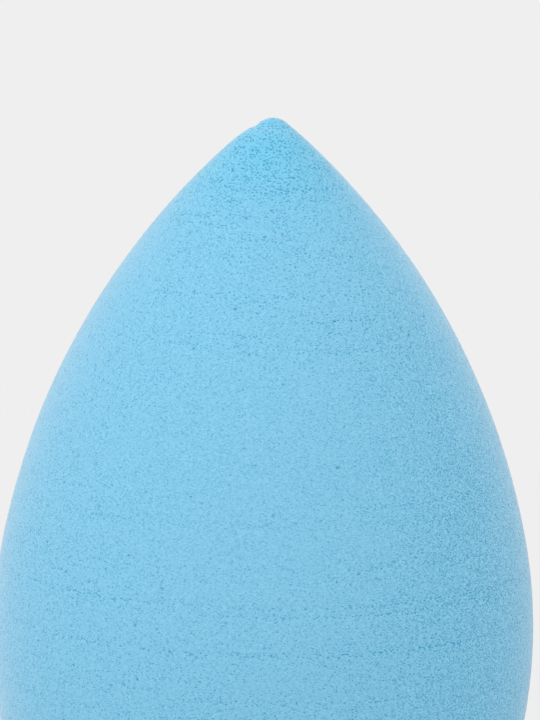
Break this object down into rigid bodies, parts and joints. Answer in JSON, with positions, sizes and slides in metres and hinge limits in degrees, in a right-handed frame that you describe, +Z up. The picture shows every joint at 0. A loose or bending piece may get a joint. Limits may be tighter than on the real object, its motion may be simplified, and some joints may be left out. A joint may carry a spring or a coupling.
{
  "type": "makeup sponge",
  "caption": "Teardrop makeup sponge of open-cell foam: rounded base with a small flat foot, full belly and a tapered tip, for blending make-up by hand.",
  "frame": {"origin": "centre of the flat foot, on the surface that the sponge stands on", "axes": "+Z up along the turning axis towards the pointed tip; +X to the right in the picture, the side that the nub on the tip sits towards; the front that the picture shows faces -Y"},
  "size_m": [0.04, 0.04, 0.06],
  "materials": {
    "foam": "matt sky-blue open-cell polyurethane foam, ground and unskinned"
  },
  "bodies": {
    "root": {"sponge_body": "foam"}
  },
  "joints": []
}
